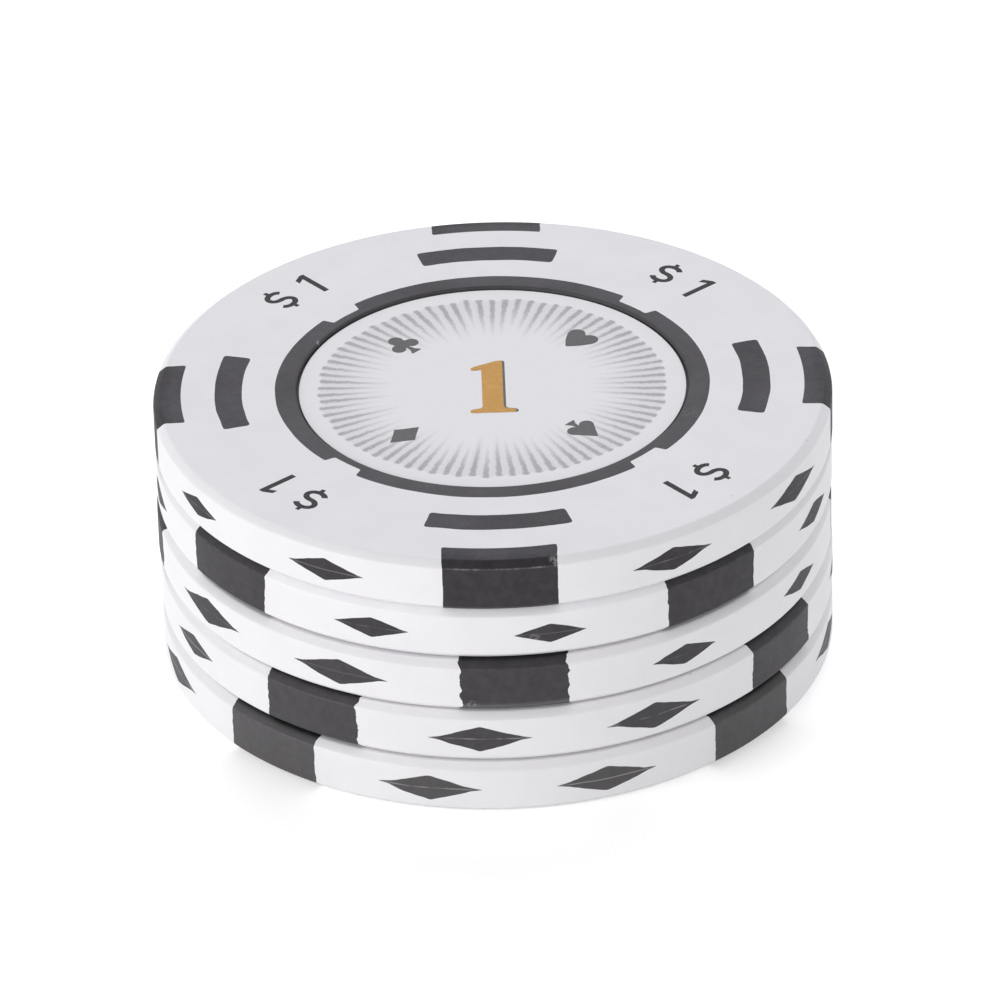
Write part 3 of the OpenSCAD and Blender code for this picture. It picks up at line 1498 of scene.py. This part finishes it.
    def stamps(self) -> Piece:
        """Models the value marks between the spots, which lie a little below the face.

        Returns:
            All marks on both faces.
        """
        sizes = self.sizes
        low, high = sizes.thickness - sizes.stamp_depth, sizes.thickness - sizes.stamp_sink
        middle = sizes.pitch / 2 + sizes.stamp_lag
        signs = (
            (self.glyphs.coin_sign(), sizes.stamp_spread),
            (self.glyphs.plain_one(), -sizes.stamp_spread),
        )
        plates = []
        for outlines, offset in signs:
            first = self.plate(outlines, low, high, sizes.stamp_circle, middle + offset)
            plates += self.around(first, sizes.spots)
        return self.both_sides(self.name("value_stamps"), plates)

    def stamp_beds(self, stamps: Piece) -> Piece:
        """Models the shallow beds that the stamps press into the white body.

        Args:
            stamps: The stamped marks.

        Returns:
            Their form, stretched past both faces.
        """
        sizes = self.sizes
        beds = self.bench.copy(stamps, "beds")
        for vertex in beds.data.vertices:
            height = vertex.co.z / MM
            if abs(height - (sizes.thickness - sizes.stamp_sink)) < LEVEL:
                vertex.co.z = (sizes.thickness + self.overrun) * MM
            elif abs(height - sizes.stamp_sink) < LEVEL:
                vertex.co.z = -self.overrun * MM
        return beds

    def label(self, side: Side) -> Piece:
        """Models a label's film with its die-cut edge.

        Args:
            side: The face that it lies in.

        Returns:
            The label.
        """
        sizes = self.sizes
        low = sizes.thickness - sizes.recess_depth
        if side is Side.BOTTOM:
            low = sizes.recess_depth - sizes.label_thickness
        name = self.name(f"{side.value}_film")
        film = self.bench.drum(name, sizes.label_radius, low, low + sizes.label_thickness)
        with self.bench.editing(film):
            self.bench.bevel_rims(film, sizes.label_bevel, 2)
        self.bench.smooth(film)
        return film

    def prints(self) -> tuple[Piece, Piece]:
        """Models the layers of ink on both labels.

        Returns:
            The dark suits, with the shadow of the figure, and the gold figure.
        """
        sizes = self.sizes
        low = sizes.thickness - sizes.recess_depth + sizes.label_thickness
        high = low + sizes.print_thickness
        half = (low + high) / 2
        suits = [
            self.plate(drawn, low, high, sizes.suit_circle, sizes.pitch * (i + 0.5))
            for i, drawn in enumerate(self.glyphs.suits())
        ]
        figure = self.glyphs.serif_one()
        shadow = [outline.moved(sizes.shadow_shift, 0) for outline in figure]
        suits.append(self.plate(shadow, low, half, 0, 180))
        gold = [self.plate(figure, half, high, 0, 180)]
        inked = self.both_sides(self.name("label_suits"), suits)
        return inked, self.both_sides(self.name("label_figure"), gold)


@dataclass
class Stack:
    """The five chips, from the lowest up."""

    # The pale upper-edge line is wear and a painted highlight. It is strongest on the top chip, whose edge no
    # chip above shades
    seats: tuple[Seat, ...] = (
        # The dark walls are made paler the lower the chip sits, from 0.16 on the lowest chip to none on the
        # top one
        Seat(
            number=1, turn=47.7, spot_share=0.98, ragged=0.35, rubbed_and_lit=0.05, lit_parting=0.55, wall_paling=0.16,
            diamond_shares=(1, 0.9, 0.95, 1, 0.9, 1, 1, 1),
        ),
        Seat(
            number=2, turn=-33.6, spot_share=0.94, ragged=0.72, rubbed_and_lit=0.05, lit_parting=0.55, wall_paling=0.08,
            diamond_shares=(1, 1, 0.85, 0.9, 1, 0.95, 0.85, 0.8),
        ),
        Seat(
            number=3, turn=2.6, spot_share=0.94, ragged=0.95, rubbed_and_lit=0.05, lit_parting=0.12, wall_paling=0.053, hem=0.22,
            diamond_shares=(0.77, 0.74, 0.9, 1, 0.85, 0.95, 1, 1),
            scuffs=(Scuff((-2.5, -19.84, 0.55), 0.4, 0.4),),
        ),
        Seat(
            number=4, turn=38.5, spot_share=0.98, ragged=0.55, rubbed_and_lit=0.06, lit_parting=0.15, wall_paling=0.03,
            diamond_shares=(0.8, 0.85, 0.8, 0.75, 0.8, 0.85, 0.8, 0.75),
            scuffs=(Scuff((-10.8, -16.9, 1.45), 0.45, 0.3),),
        ),
        Seat(
            number=5, turn=0.4, spot_share=1.0, ragged=0.2, rubbed_and_lit=0.4, lit_parting=0.3,
            diamond_shares=(0.9, 0.94, 1, 0.9, 0.85, 0.8, 0.73, 0.85),
            scuffs=(
                Scuff((3.2, -19.5, 3.2), 0.5, 0.6),
                Scuff((-10.2, 5.5, 3.4), 0.25, 0.8),
                Scuff((11.6, -4.0, 3.4), 0.9, 0.1),
            ),
        ),
    )
    finishes: Finishes = field(default_factory=Finishes)

    def seated(self, seat: Seat) -> Seat:
        """Reads a seat's place from the frame.

        Args:
            seat: The seat.

        Returns:
            The seat with its place.
        """
        low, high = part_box(f"{seat.body}_top_label")
        middle = (low + high) / 2 / MM
        return replace(seat, x=middle.x, y=middle.y, z=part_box(f"{seat.body}_white_body")[0].z / MM)

    def build(self) -> None:
        """Builds every chip on its seat."""
        low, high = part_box("chip_1_white_body")
        sizes = ChipSizes(thickness=(high.z - low.z) / MM, radius=(high.x - low.x) / 2 / MM)
        for seat in self.seats:
            Chip(sizes, self.seated(seat), self.finishes).build()


@dataclass(frozen=True)
class SoftBox:
    """A square lamp that faces the stack: its place and width in metres, and its power in watts."""

    name: str
    place: Place
    size: float
    power: float
    blue: float = 1.0


@dataclass
class Studio:
    """The floor, the light and the camera, whose aim and focal length are in pixels of a square image."""

    distance: float = 469.89
    elevation: float = 30.53
    roll: float = -1.5546
    aim: Point = (492.38, 384.11)
    focal: float = 7983.93
    image_size: float = 1000.0
    sensor: float = 36.0
    near: float = 10.0
    floor_size: float = 6000.0
    floor_gap: float = 0.05
    paper: Colour = grey(0.95)
    paper_glow: float = 0.42
    wall: Colour = grey(1.0)
    ceiling: Colour = grey(0.15)
    ceiling_span: Span = (0.34, 0.79)
    lamp_aim: Place = (0.0, 0.0, 0.01)
    boxes: tuple[SoftBox, ...] = (
        SoftBox("left_box", (-0.636, -0.445, 0.2), 0.5, 3.25),
        SoftBox("right_box", (0.5, -0.6, 0.2), 0.5, 0.8),
        SoftBox("back_box", (0.05, 0.51, 0.62), 0.6, 2.75, 1.09),
    )

    def build(self) -> None:
        """Sets up the whole studio."""
        self.floor()
        self.world()
        for box in self.boxes:
            self.hang(box)
        self.camera()
        bpy.context.scene.view_settings.view_transform = "Standard"

    def floor(self) -> None:
        """Lays a plain white floor, which looks white to the camera and keeps the shadow."""
        Bench().clear()
        bpy.ops.mesh.primitive_plane_add(size=self.floor_size * MM, location=(0, 0, -self.floor_gap * MM))
        floor = bpy.context.object
        floor.name = "floor"
        graph = Graph.named("floor_paper")
        paper = graph.add("ShaderNodeBsdfDiffuse", sockets={"Color": self.paper})
        glow = graph.add("ShaderNodeEmission", sockets={"Strength": self.paper_glow})
        lifted = graph.add("ShaderNodeAddShader", sockets={0: paper, 1: glow})
        rays = ("Camera", "Glossy", "Transmission")
        seen, *others = [graph.add("ShaderNodeLightPath", out=f"Is {ray} Ray") for ray in rays]
        for other in others:
            seen = seen.math("MAXIMUM", other)
        shown = graph.add("ShaderNodeMixShader", sockets={0: seen, 1: paper, 2: lifted})
        graph.add("ShaderNodeOutputMaterial", sockets={"Surface": shown})
        floor.data.materials.append(graph.owner)

    def world(self) -> None:
        """Fills the room with soft light from white walls under a dim ceiling."""
        world = bpy.data.worlds.new("studio")
        bpy.context.scene.world = world
        graph = Graph(world)
        _, _, rise = graph.parts(graph.add("ShaderNodeTexCoord", out="Generated"))
        room = graph.mix(rise.over(*self.ceiling_span), self.wall, self.ceiling)
        light = graph.add("ShaderNodeBackground", sockets={"Color": room})
        graph.add("ShaderNodeOutputWorld", sockets={"Surface": light})

    def hang(self, box: SoftBox) -> None:
        """Hangs one soft box.

        Args:
            box: The lamp.
        """
        light = bpy.data.lights.new(box.name, "AREA")
        light.shape = "SQUARE"
        light.size = box.size
        light.energy = box.power
        light.color = (1.0, 1.0, box.blue)
        lamp = bpy.data.objects.new(box.name, light)
        lamp.visible_camera = False
        lamp.location = box.place
        lamp.rotation_euler = (Vector(self.lamp_aim) - Vector(box.place)).to_track_quat("-Z", "Y").to_euler()
        bpy.context.scene.collection.objects.link(lamp)

    def camera(self) -> None:
        """Sets the camera where the photograph was taken from."""
        low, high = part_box("chip_5_top_label")
        target = Vector(((low.x + high.x) / 2, (low.y + high.y) / 2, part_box("chip_5_white_body")[1].z))
        rise = math.radians(self.elevation)
        place = Vector((0, -math.cos(rise), math.sin(rise))) * self.distance * MM
        ahead = -place.normalized()
        right = Vector((1, 0, 0))
        level = Matrix((right, -right.cross(ahead), ahead))
        half = self.image_size / 2
        aim = Vector(((self.aim[0] - half) / self.focal, (self.aim[1] - half) / self.focal, 1)).normalized()
        swing = Vector((0, 0, 1)).rotation_difference(aim).to_matrix()
        view = swing @ Matrix.Rotation(math.radians(self.roll), 3, "Z") @ level
        axes = Matrix((view[0], -view[1], -view[2])).transposed()
        data = bpy.data.cameras.new("camera")
        data.sensor_width = self.sensor
        data.lens = self.focal * self.sensor / self.image_size
        data.clip_start = self.near * MM
        camera = bpy.data.objects.new("camera", data)
        camera.matrix_world = Matrix.Translation(target + place) @ axes.to_4x4()
        bpy.context.scene.collection.objects.link(camera)
        bpy.context.scene.camera = camera


def main() -> None:
    """Builds the studio and the stack."""
    logging.basicConfig(level=logging.INFO, format="%(name)s %(message)s")
    Studio().build()
    Stack().build()


if __name__ == "__main__":
    main()
